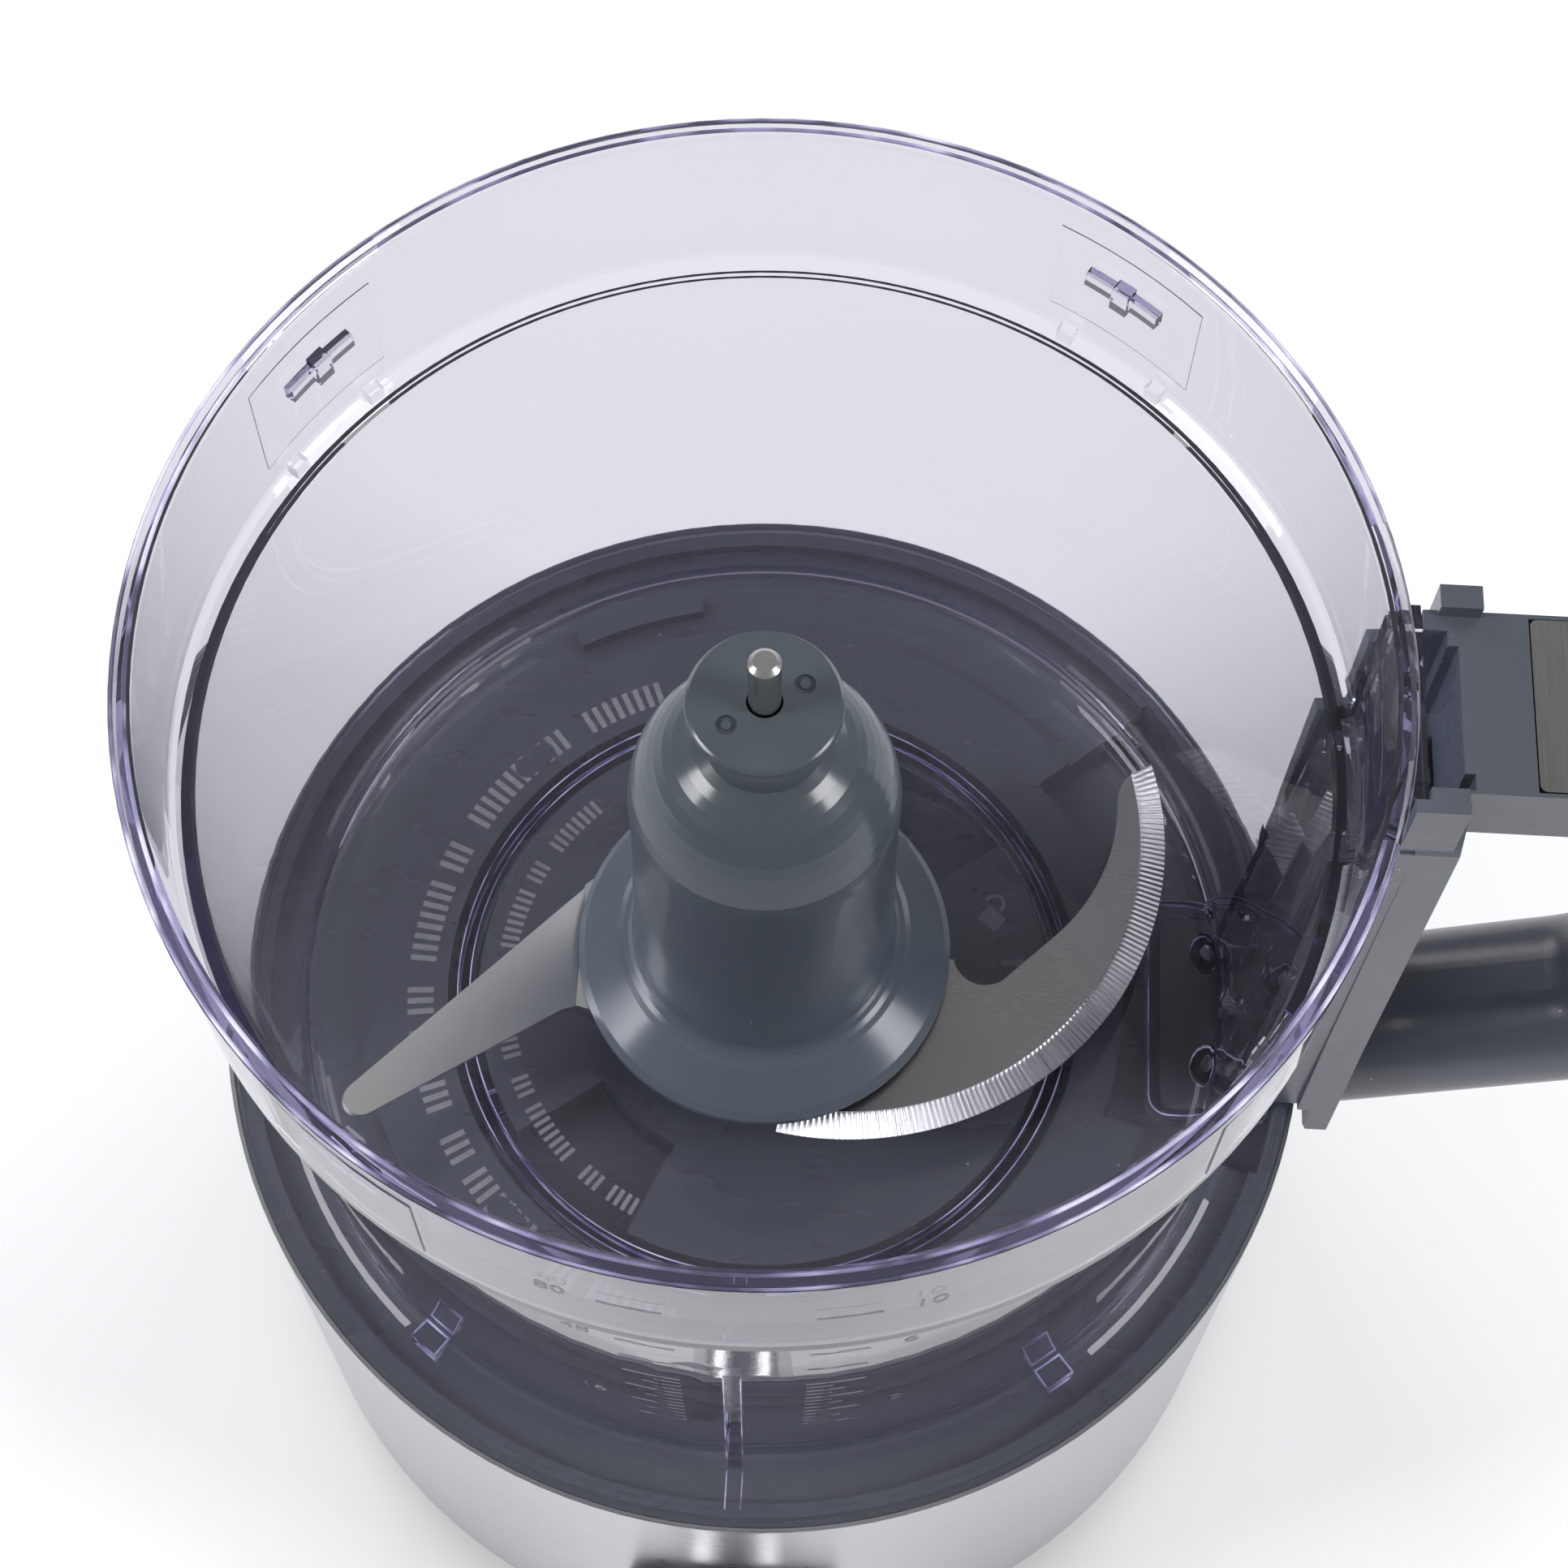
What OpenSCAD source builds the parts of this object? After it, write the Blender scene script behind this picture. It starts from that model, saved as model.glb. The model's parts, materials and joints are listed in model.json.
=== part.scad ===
// Food processor: steel-wrapped motor base, clear twist-lock bowl with a loop
// handle, and a two-blade chopping rotor on the drive spindle. The lid is off.
// The spindle is the Z axis, the table is z = 0, the control knob faces -Y and
// the bowl's handle points to +X.

/* [Motor base] */
// Outer radius of the steel band
base_r = 103; // [102:0.5:106]
// Height of the base cover's top face
cover_z = 121.2; // [119:0.1:124]
// Height of the knob's centre
knob_z = 62; // [50:1:75]
// Radius of the control knob
knob_r = 16; // [14:1:20]

/* [Bowl] */
// Outer radius of the rim
rim_r = 99; // [98:0.5:100]
// Height of the rim above the table
rim_z = 265; // [262:1:270]
// Outer radius of the wall where it meets the floor
foot_r = 89.4; // [88:0.1:90]
// Thickness of the clear wall
wall_t = 2.6; // [2:0.1:3]
// Depth of the lid band, from the rim down to the ledge
band_d = 36.5; // [34:0.5:40]
// Angle that the bowl turns to unlock
twist_deg = 22; // [15:1:24]

/* [Blade] */
// Radius of the hub's barrel
hub_r = 23; // [22:0.1:24]
// Radius that the blade tips sweep
sweep_r = 85.4; // [82:0.1:86]
// Thickness of a blade
blade_t = 1.8; // [1.5:0.1:2]
// Upward slope of the upper blade
upper_tilt = 18; // [10:1:20]

/* [Handle] */
// Width of the handle's top arm
arm_w = 31; // [28:1:34]
// Height of the arm's top face below the rim
arm_drop = 6.5; // [5:0.5:9]
// Reach of the handle from the spindle axis
handle_x = 174; // [170:1:180]

/* [Hidden] */
$fn = 96;

// motor base
band_t = 0.8;                     // steel sheet of the band
band_z0 = 12;                     // lower edge of the band
cover_r = base_r - band_t - 0.1;  // cover sits inside the band
cover_t = 3;                      // plate thickness of the cover
moat_r0 = 77;                     // shallow ring that the bowl's flange stands over
moat_r1 = 98;
moat_d = 2.6;
bay_r0 = 69;                      // deep bay for the bowl's rod pocket
bay_r1 = 99.4;
bay_a0 = -19;
bay_a1 = 19 + twist_deg;
bay_z = 112.7;
groove_r0 = 54.9;                 // ring groove for the bowl's locking ring
groove_r1 = 60.8;
groove_z = 113;
tower_r = 9.8;                    // tower that carries the spindle's top bush
tower_bore = 6.2;
tower_z = 188;
post_r = 90;                      // screw posts between cover and tray
post_a = [60, 150, 240, 330];
foot_a = [45, 135, 225, 315];
foot_ring_r = 82;
foot_pad_r = 10;
gland_z = 34;                     // height of the cord gland at the rear

// locking ring under the bowl
lock_r0 = 56.5;
lock_r1 = 59;
lock_z = 114.5;
hook_a = [26.5, 206.5];           // the two bayonet hooks
hook_half = 2.6;
hook_h = 2.5;

// motor
shaft_r = 5;
bolt_ring_r = 50;
bolt_a = [45, 135, 225, 315];
bolt_r = 2.4;
bolt_len = 85;
stator_r = 58;
stator_z = [44, 80];
rotor_r = 30;
air_gap = 0.4;
clip_z = 107.15;                  // underside of the shaft clip

// spindle above the motor
stem_r = 4;
hex_r = 5.2;                      // hexagon that drives the hub, over corners
hex_z = [198, 222];
pin_r = 2.65;
pin_neck_r = 2.2;                 // neck of the pin, inside the hub
pin_z0 = 246.2;                   // start of the pin's full-size tip
pin_z = 260;
run_gap = 0.06;

// bowl
bowl_z0 = cover_z + 0.3;          // underside of floor and flange
floor_z = bowl_z0 + 3;            // food side of the floor
flange_r = 101.3;
flange_z = bowl_z0 + 2.6;
ledge_z = rim_z - band_d;
band_r = rim_r - 0.9;             // outer radius of the lid band
band_in = rim_r - 3.3;            // inner radius of the lid band
shoulder_r = 94.4;                // outer wall radius just below the ledge
tube_r0 = 11.2;
tube_r1 = 13.7;
tube_z = 196;
station_a = [54, 144, 234, 324];  // four lid-lock stations

// hub
disc_z = 246.1;                   // top face of the hub
disc_r = 12.8;
crease_z = 210;                   // where dome meets barrel
flange_edge_z = 141.4;            // lower edge of the hub's flange
flange_edge_r = 34.6;
skirt_r = 22;
skirt_z = 128;
socket_r = 10.8;                  // driven socket inside the hub
socket_z = 230;
root_r = 31;                      // blade roots, clamped round the skirt
lower_z = flange_edge_z - 2 * blade_t - 0.05; // underside of the lower blade
upper_z = lower_z + blade_t;      // underside of the upper blade's root

// handle and interlock
arm_z = rim_z - arm_drop;
rail_x = 101;                     // outer face of the bowl's handle rail
post_x = [rail_x + 0.2, 108.2];
cheek_y = 18.5;                    // middle of the two cheeks beside the rail
tab_slot_x = [rail_x + 0.6, 106.4];
rod_x = 104;                      // centre of the rod's blade
peg_x = 93;                       // peg that reaches the base
peg_r = 2.1;
peg_bore = 2.5;
press = 3.5;                      // travel of rod and plunger
pocket_x = [73.6, 97];
pocket_w = 44;
pocket_z = 117;
rod_foot_z = 133;
plunger_top = 116.7;
plunger_stop_z = 110;             // top of the plunger's collar, under the bay
handle_z0 = 113;                  // underside of the handle's foot, beside the base
foot_x = 104.2;                   // inner face of that foot
post_z0 = 126.2;                  // underside of the post, over the bowl's flange
grip_r = 12.5;                    // half the thickness of the grip and lower arm
grip_x = handle_x - grip_r;
bend_r = 22;                      // bend between the grip and the lower arm
bend_z = 157.4;
arm_rise = 25.2;                  // upward slope of the lower arm
corner_r = 24;                    // outer corner of the top arm
handle_screw_y = 10.5;
handle_screw_z = [150, 222];
handle_seat_x = 105.6;            // seat of the handle screws' heads

PLASTIC = "#4a5157";
HUB_GREY = "#5c6870";
CLEAR = [0.8, 0.8, 0.95, 0.35];

module ring(r0, r1, z0, z1) {
    translate([0, 0, z0]) difference() {
        cylinder(r = r1, h = z1 - z0);
        translate([0, 0, -1]) cylinder(r = r0, h = z1 - z0 + 2);
    }
}

// part of a ring between two angles
module arc(r0, r1, z0, z1, a0, a1) {
    rotate(a0) rotate_extrude(angle = a1 - a0)
        translate([r0, z0]) square([r1 - r0, z1 - z0]);
}

module rod(r, z0, z1) { translate([0, 0, z0]) cylinder(r = r, h = z1 - z0); }

module at_polar(r, a) { rotate(a) translate([r, 0, 0]) children(); }

module box(x, y, z) {
    translate([x[0], y[0], z[0]]) cube([x[1] - x[0], y[1] - y[0], z[1] - z[0]]);
}

// rounded bar in plan, with its corners in the XY plane
module pad(x, y, z, r) {
    translate([0, 0, z[0]]) linear_extrude(z[1] - z[0]) union() {
        translate([x[0] + r, y[0]]) square([x[1] - x[0] - 2 * r, y[1] - y[0]]);
        translate([x[0], y[0] + r]) square([x[1] - x[0], y[1] - y[0] - 2 * r]);
        for (u = [x[0] + r, x[1] - r], v = [y[0] + r, y[1] - r])
            translate([u, v]) circle(r, $fn = 32);
    }
}

// pan-head screw along +Z: the head's underside is at z = 0
module screw(shank_r, head_r, head_h, len) {
    difference() {
        union() {
            rod(shank_r, -0.01, len);
            rod(head_r, -head_h, 0);
        }
        for (a = [0, 90]) rotate(a)
            translate([-head_r * 0.6, -0.45, -head_h - 1]) cube([head_r * 1.2, 0.9, 1 + head_h * 0.6]);
    }
}

// compression spring about Z, as a swept wire
module coil(r, wire, z0, z1, turns) {
    sides = 8;
    steps = 16;
    n = round(turns * steps);
    function centre(i) = [r * cos(360 * i / steps), r * sin(360 * i / steps),
                          z0 + wire + (z1 - z0 - 2 * wire) * i / n];
    points = [for (i = [0 : n], k = [0 : sides - 1])
        let (c = centre(i), a = 360 * i / steps, b = 360 * k / sides)
        c + wire * [cos(a) * cos(b), sin(a) * cos(b), sin(b)]];
    skin = [for (i = [0 : n - 1], k = [0 : sides - 1])
        let (k2 = (k + 1) % sides)
        [i * sides + k, (i + 1) * sides + k, (i + 1) * sides + k2, i * sides + k2]];
    ends = [[for (k = [0 : sides - 1]) k], [for (k = [sides - 1 : -1 : 0]) n * sides + k]];
    polyhedron(points, concat(skin, ends), convexity = 10);
}

// ---- motor base ----

module rubber_feet() {
    color("#202224") for (a = foot_a) at_polar(foot_ring_r, a) {
        rotate_extrude() polygon([[0, 0], [foot_pad_r - 1.2, 0], [foot_pad_r - 0.2, 1],
                                  [foot_pad_r - 0.2, 5.9], [0, 5.9]]);
    }
}

module bottom_tray() {
    color("#2c3034") difference() {
        union() {
            rotate_extrude() polygon([[0, 4.2], [99, 4.2], [101.4, 6], [101.4, band_z0],
                                      [base_r - band_t - 0.2, band_z0],
                                      [base_r - band_t - 0.2, 22], [99.6, 22], [99.6, 9.4], [0, 9.4]]);
            at_polar(82, 130) ring(15.3, 17.5, 9, 16);
            for (a = post_a) at_polar(post_r, a) rod(6, 9, 12);
            rod(16, 9, 11);
        }
        for (a = foot_a) at_polar(foot_ring_r, a) rod(foot_pad_r, 3, 5.9);
        for (a = post_a) at_polar(post_r, a) {
            rod(2.2, 0, 20);
            rod(4.2, 0, 7);
        }
        for (i = [-4 : 4]) box([-30, 30], [i * 7 - 1.5, i * 7 + 1.5], [3, i == 0 ? 3.5 : 12]);
        for (s = [-1, 1], i = [0 : 4]) box([s * 45 - 9, s * 45 + 9], [i * 7 - 15.5, i * 7 - 12.5], [3, 12]);
    }
}

module tray_screws() {
    color("silver") for (a = post_a) at_polar(post_r, a) translate([0, 0, 7]) screw(1.9, 3.8, 2.4, 18);
}

module steel_band() {
    color("lightgray") difference() {
        ring(base_r - band_t, base_r, band_z0, cover_z);
        translate([0, -base_r + 5, knob_z]) rotate([90, 0, 0]) cylinder(r = 9, h = 10);
        translate([0, base_r - 5, gland_z]) rotate([-90, 0, 0]) cylinder(r = 7.2, h = 10);
    }
}

module base_cover() {
    under = cover_z - cover_t;
    color(PLASTIC) difference() {
        union() {
            rod(cover_r, under, cover_z);
            // stepped plates below the moat, groove and bay
            ring(moat_r0 - 2, moat_r1 + 2, cover_z - moat_d - cover_t, cover_z - 1);
            ring(groove_r0 - 2.6, groove_r1 + 2.6, groove_z - 2.5, cover_z - 1);
            ring(cover_r - 2.4, cover_r, 100, cover_z - 1);
            arc(bay_r0 - 2.4, cover_r, bay_z - 2.5, cover_z - 1, bay_a0 - 2, bay_a1 + 2);
            for (a = hook_a) arc(33.5, groove_r0, groove_z - 2.5, cover_z - 1, a - 6.5, a + 42);
            // spindle tower
            rotate_extrude() polygon([[0, under], [10.8, under], [10.8, cover_z + 2],
                                      [tower_r, cover_z + 10], [tower_r, tower_z - 1],
                                      [tower_r - 1, tower_z], [0, tower_z]]);
            for (a = post_a) at_polar(post_r, a) rod(5, 12, under);
            for (a = bolt_a) at_polar(bolt_ring_r, a) rod(5.5, 101, under);
        }
        ring(moat_r0, moat_r1, cover_z - moat_d, cover_z + 1);
        ring(groove_r0, groove_r1, groove_z, cover_z + 1);
        arc(bay_r0, bay_r1, bay_z, cover_z + 1, bay_a0, bay_a1);
        // bayonet: a covered slot at the locked place, and a bay open to the top
        for (a = hook_a) {
            arc(51.6, groove_r0 + 1, groove_z, lock_z + hook_h + 0.6, a - 4.5, a + 12);
            arc(36, groove_r0 + 1, groove_z, cover_z + 1, a + 9, a + 39);
        }
        rod(stem_r + 1, under - 1, tower_z + 1);
        rod(tower_bore, tower_z - 16, tower_z + 1);
        for (a = post_a) at_polar(post_r, a) rod(2, 11, 30);
        for (a = bolt_a) at_polar(bolt_ring_r, a) rod(bolt_r + 0.1, 100, 22 + bolt_len + 1);
        at_polar(peg_x, 0) rod(2.9, 100, 118);
    }
    // locking lug that stands in the moat, behind the spindle
    color(PLASTIC) arc(82, 86, cover_z - moat_d - 0.5, cover_z + 0.05, 102, 120);
    color(PLASTIC) for (a = [47, 137, 227, 317]) at_polar(66, a)
        pad([-2.2, 2.2], [-4.5, 4.5], [cover_z - 0.5, cover_z + 0.1], 2.1);
}

module stator_core() {
    color("#8a8f94") difference() {
        rod(stator_r, stator_z[0], stator_z[1]);
        rod(rotor_r + air_gap, stator_z[0] - 1, stator_z[1] + 1);
        for (i = [0 : 11]) rotate(i * 30) {
            box([rotor_r, rotor_r + 4], [-1.2, 1.2], [stator_z[0] - 1, stator_z[1] + 1]);
            at_polar(rotor_r + 8.5, 0) rod(4.6, stator_z[0] - 1, stator_z[1] + 1);
        }
        for (a = bolt_a) at_polar(bolt_ring_r, a) rod(bolt_r + 0.15, stator_z[0] - 1, stator_z[1] + 1);
    }
}

module stator_windings() {
    color("#b8703a") {
        for (z = [[stator_z[0] - 13, stator_z[0]], [stator_z[1], stator_z[1] + 11]])
            ring(33.2, 43.8, z[0], z[1]);
        for (i = [0 : 11]) rotate(i * 30) at_polar(rotor_r + 8.5, 0)
            rod(4.3, stator_z[0] - 1, stator_z[1] + 1);
    }
}

module bracket_plate(z0, z1) {
    difference() {
        rod(stator_r, z0, z1);
        for (i = [0 : 3]) rotate(i * 90) arc(18, 40, z0 - 1, z1 + 1, 12, 78);
        for (a = bolt_a) at_polar(bolt_ring_r, a) rod(bolt_r + 0.15, z0 - 1, z1 + 1);
    }
}

module upper_bracket() {
    color("#9aa0a6") difference() {
        union() {
            bracket_plate(95, 98);
            rod(14, 95, 107);
            for (a = bolt_a) at_polar(bolt_ring_r, a) rod(5, stator_z[1], 95.5);
        }
        rod(11, 94, 106);
        rod(shaft_r + 1.5, 90, 110);
        for (a = bolt_a) at_polar(bolt_ring_r, a) rod(bolt_r + 0.15, stator_z[1] - 1, 99);
    }
}

module lower_bracket() {
    color("#9aa0a6") difference() {
        union() {
            bracket_plate(22, 25);
            rod(14, 13, 25);
            for (a = bolt_a) at_polar(bolt_ring_r, a) rod(5, 24.5, stator_z[0]);
        }
        rod(11, 14.5, 26);
        rod(shaft_r + 1.5, 10, 20);
        for (a = bolt_a) at_polar(bolt_ring_r, a) rod(bolt_r + 0.15, 20, stator_z[0] + 1);
    }
}

module motor_bolts() {
    color("silver") for (a = bolt_a) at_polar(bolt_ring_r, a) translate([0, 0, 22])
        screw(bolt_r, 4.4, 3, bolt_len);
}

module motor_grommets() {
    color("#222426") for (a = bolt_a) at_polar(bolt_ring_r, a) ring(bolt_r + 0.2, 6.5, 98, 101);
}

// sealed ball bearing: two races, shields and the ring of balls between them
module bearing(z0, z1) {
    ring(shaft_r + run_gap, 6.6, z0, z1);
    ring(9.3, 10.95, z0, z1);
    ring(6.6, 9.3, z0 + 0.8, z1 - 0.8);
}

module upper_bearing() { color("silver") bearing(97.8, 105.8); }

module lower_bearing() { color("silver") bearing(14.6, 22.6); }

module tower_bush() {
    color("#b08d57") ring(stem_r + run_gap, tower_bore - 0.05, tower_z - 16, tower_z - 4);
}

module spindle_seal() {
    color("#1c1e20") translate([0, 0, tower_z - 4]) rotate_extrude() polygon([
        [stem_r + 0.1, 0.4], [tower_bore - 0.05, 0], [tower_bore - 0.05, 4], [stem_r + 1, 4],
        [stem_r + 0.1, 2.2]]);
}

module run_capacitor() {
    color("#d8d8d2") at_polar(82, 130) {
        rotate_extrude() polygon([[0, 9.4], [14, 9.4], [15, 10.4], [15, 64], [13.6, 65.5], [0, 65.5]]);
        for (x = [-5, 5]) box([x - 0.4, x + 0.4], [-3, 3], [65, 72]);
    }
}

module control_board() {
    color("#2f6b46") {
        box([-84, -82.4], [-32, 32], [10, 76]);
        box([-82.5, -72], [-24, -6], [22, 40]);
        box([-82.5, -70], [4, 22], [50, 66]);
        for (y = [-16, 0, 16]) translate([-82.5, y, 58 - y]) rotate([0, 90, 0]) cylinder(r = 4, h = 9);
        for (y = [-28, 28]) box([-84, -81], [y - 3, y + 3], [9.4, 12]);
    }
}

module selector_switch() {
    color("#303438") difference() {
        union() {
            box([-15, 15], [-92, -68], [knob_z - 15, knob_z + 15]);
            translate([0, -91.9, knob_z]) rotate([90, 0, 0]) cylinder(r = 7, h = 9.6);
            for (x = [-10, 0, 10]) box([x - 2.5, x + 2.5], [-68.1, -60], [knob_z - 0.4, knob_z + 0.4]);
        }
        translate([0, -80, knob_z]) rotate([90, 0, 0]) cylinder(r = 3.1, h = 30);
    }
}

module knob_bezel() {
    color("#3a4046") difference() {
        translate([0, -base_r + 6, knob_z]) rotate([90, 0, 0]) cylinder(r = knob_r + 5, h = 8.4);
        translate([0, 0, 20]) cylinder(r = base_r + 0.02, h = 100, $fn = 720);
        translate([0, -base_r + 8, knob_z]) rotate([90, 0, 0]) cylinder(r = 7.4, h = 20);
        translate([0, -base_r - 1.2, knob_z]) rotate([90, 0, 0]) cylinder(r = knob_r + 0.6, h = 5);
    }
    color("#3a4046") translate([0, -base_r + 1.3, knob_z]) rotate([90, 0, 0]) difference() {
        cylinder(r = 8.8, h = 2);
        translate([0, 0, -1]) cylinder(r = 7.4, h = 5);
    }
}

module interlock_switch() {
    color("#26282b") {
        box([peg_x - 3.2, peg_x + 3.2], [-10, 10], [83, 95]);
        at_polar(peg_x, 0) rod(1.2, 94.9, 96.3);
    }
    color("goldenrod") for (y = [-7, 0, 7]) box([peg_x - 0.4, peg_x + 0.4], [y - 2, y + 2], [77, 83.1]);
}

module switch_bracket() {
    color("silver") difference() {
        union() {
            box([peg_x - 6, peg_x + 4], [-14, 14], [95, 96]);
            for (s = [-1, 1]) {
                box([peg_x - 6, peg_x + 4], [s * 14 - 0.6, s * 14 + 0.6], [95, bay_z - 2.5]);
                box([peg_x - 8, peg_x + 3], [s * 16.5 - 3, s * 16.5 + 3], [bay_z - 3.7, bay_z - 2.5]);
            }
        }
        at_polar(peg_x, 0) rod(1.6, 90, 100);
    }
}

module cord_gland() {
    color("#1d1f21") translate([0, 0, gland_z]) rotate([-90, 0, 0]) difference() {
        union() {
            translate([0, 0, 90]) cylinder(r = 7, h = base_r + 3 - 90);
            translate([0, 0, base_r + 0.1]) cylinder(r = 9.5, h = 3.4);
            translate([0, 0, 96]) cylinder(r = 9.5, h = 4);
        }
        translate([0, 0, 80]) cylinder(r = 3.8, h = 40);
    }
}

// ---- spindle ----

module drive_spindle() {
    color("silver") {
        rod(shaft_r, 13.5, clip_z);
        rod(shaft_r - 0.6, clip_z - 0.1, clip_z + 0.9);
        rod(shaft_r, clip_z + 0.8, 111);
        rod(stem_r, 110.9, hex_z[0]);
        translate([0, 0, hex_z[0]]) cylinder(r = hex_r, h = hex_z[1] - hex_z[0], $fn = 6);
        rod(pin_neck_r, hex_z[1] - 0.1, pin_z0);
        rotate_extrude() polygon([[0, pin_z0], [pin_r, pin_z0], [pin_r, pin_z - 0.8],
                                  [pin_r - 0.8, pin_z], [0, pin_z]]);
    }
}

module rotor_core() {
    color("#9ea3a8") {
        ring(shaft_r, rotor_r, stator_z[0], stator_z[1]);
        for (z = [stator_z[0] - 3, stator_z[1]]) ring(22, rotor_r - 1, z, z + 3);
    }
}

module cooling_fan() {
    color("#e4e4de") {
        ring(shaft_r, 9, 26.5, 40);
        ring(shaft_r + 1, 28, 26.5, 28.5);
        for (i = [0 : 8]) rotate(i * 40) translate([8, -0.8, 28]) rotate(14) cube([19, 1.5, 10]);
    }
}

module shaft_clip() {
    color("#70757a") difference() {
        ring(shaft_r - 0.6, 7.6, clip_z, clip_z + 0.8);
        box([0, 10], [-1.6, 1.6], [clip_z - 1, clip_z + 2]);
    }
}

// ---- chopping blade ----

module blade_hub() {
    color(HUB_GREY) difference() {
        rotate_extrude($fn = 120) polygon(concat(
            [[0, disc_z], [disc_r - 0.9, disc_z]],
            [for (a = [75 : -30 : -75]) [disc_r - 0.9 + 0.9 * cos(a), disc_z - 0.9 + 0.9 * sin(a)]],
            [[disc_r - 1.4, disc_z - 2.2]],
            // concave neck, then the bell of the dome
            [for (a = [100 : 12 : 220]) [12.6 + 3.6 * cos(a) - 0.5, disc_z - 6.4 + 3.6 * sin(a)]],
            [for (a = [72 : -6 : 0]) [4 + (hub_r - 4) * cos(a), crease_z + 24 * sin(a)]],
            [[hub_r - 0.35, crease_z - 0.6], [hub_r + 0.7, 158]],
            [for (a = [180 : 15 : 255]) [hub_r + 5.2 + 4.4 * cos(a), 154 + 4.4 * sin(a)]],
            [[flange_edge_r - 1.2, flange_edge_z + 3.4], [flange_edge_r, flange_edge_z + 2],
             [flange_edge_r, flange_edge_z + 0.5], [flange_edge_r - 0.6, flange_edge_z],
             [skirt_r, flange_edge_z], [skirt_r, skirt_z], [skirt_r - 2.6, skirt_z], [skirt_r - 2.6, 200],
             [16, 221], [socket_r + 0.3, 226], [socket_r + 0.3, socket_z], [0, socket_z]]));
        rod(pin_r + 0.3, 200, 260);
        for (p = [[6.2, 3.4], [-5.8, -4.4]]) translate([p[0], p[1], disc_z - 0.5]) cylinder(r = 1.7, h = 2);
    }
    color(HUB_GREY) for (p = [[6.2, 3.4], [-5.8, -4.4]]) translate([p[0], p[1], disc_z - 0.6])
        cylinder(r = 0.8, h = 0.5);
    // ribs that carry the socket inside the barrel
    color(HUB_GREY) for (i = [0 : 5]) rotate(i * 60)
        box([socket_r, skirt_r - 1.5], [-0.9, 0.9], [hex_z[0] + 0.2, 218]);
}

module hub_socket() {
    color("#c9ccce") difference() {
        rod(socket_r, hex_z[0] + 0.2, socket_z);
        translate([0, 0, 190]) cylinder(r = hex_r + 0.12, h = hex_z[1] + 0.2 - 190, $fn = 6);
        rod(pin_r + 0.1, 200, socket_z + 1);
    }
}

// crescent: the convex cutting edge and the concave back are both arcs, with a
// round notch where the back meets the hub's flange and a round inner corner at the tip
module crescent() {
    notch = [41.2, 1.4];
    notch_r = 5.8;
    back = [27.7, 33.65];
    back_r = 38.3;
    intersection() {
        difference() {
            translate([14, 26]) circle(61.2, $fn = 160);
            intersection() {
                translate(back) circle(back_r, $fn = 160);
                translate([notch[0] + 4, -40]) square([60, 140]);
            }
            translate(notch) circle(notch_r, $fn = 64);
            polygon([notch + notch_r * [0.707, -0.707], [53.9, 5.8], [48, 12], notch]);
            translate([33.5, 0.5]) square([14, 60]);
            polygon([[65.9, 35.2], [66.8, 38.1], [68.7, 40.4], [71.8, 42.5], [60, 50]]);
            translate([-80, -80]) square([84, 200]);
            translate([-80, 12]) square([115, 100]);
        }
        circle(sweep_r, $fn = 180);
        rotate(31) translate([-100, -100]) square([200, 100]);
    }
}

module root_disc(z) {
    translate([0, 0, z]) difference() {
        cylinder(r = root_r, h = blade_t);
        translate([0, 0, -1]) cylinder(r = skirt_r + 0.02, h = blade_t + 2);
    }
}

module lower_blade() {
    color("silver") difference() {
        union() {
            root_disc(lower_z);
            translate([0, 0, lower_z]) linear_extrude(blade_t) crescent();
        }
        rod(skirt_r + 0.02, lower_z - 1, lower_z + blade_t + 1);
    }
}

// straight, tapering blade: a flat root under the hub's flange, bent upwards just
// outside it, and swept towards the tip
module upper_blade() {
    bend = flange_edge_r - 0.1;
    tip = [38, 37.3];
    tip_r = 3;
    color("silver") difference() {
        union() {
            root_disc(upper_z);
            rotate(180) {
                translate([0, 0, upper_z]) linear_extrude(blade_t)
                    polygon([[8, -22], [27, -17.3], [bend, -10.8], [bend, 13.2], [27, 15], [8, 22]]);
                translate([bend, 0, upper_z]) rotate([0, -upper_tilt, 0]) linear_extrude(blade_t)
                    union() {
                        polygon([[-0.2, -11], tip + tip_r * [0.76, -0.65], tip + tip_r * [-0.6, 0.8],
                                 [3, 14.6], [-0.2, 13.2]]);
                        translate(tip) circle(tip_r, $fn = 48);
                    }
            }
        }
        rod(skirt_r + 0.02, upper_z - 1, upper_z + blade_t + 4);
    }
}

module blade_collar() {
    color(HUB_GREY) rotate_extrude() polygon([[skirt_r + 0.05, skirt_z + 0.4], [28, skirt_z + 0.4],
        [root_r - 0.6, skirt_z + 3], [root_r - 0.6, lower_z], [skirt_r + 0.05, lower_z]]);
}

// ---- bowl ----

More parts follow.
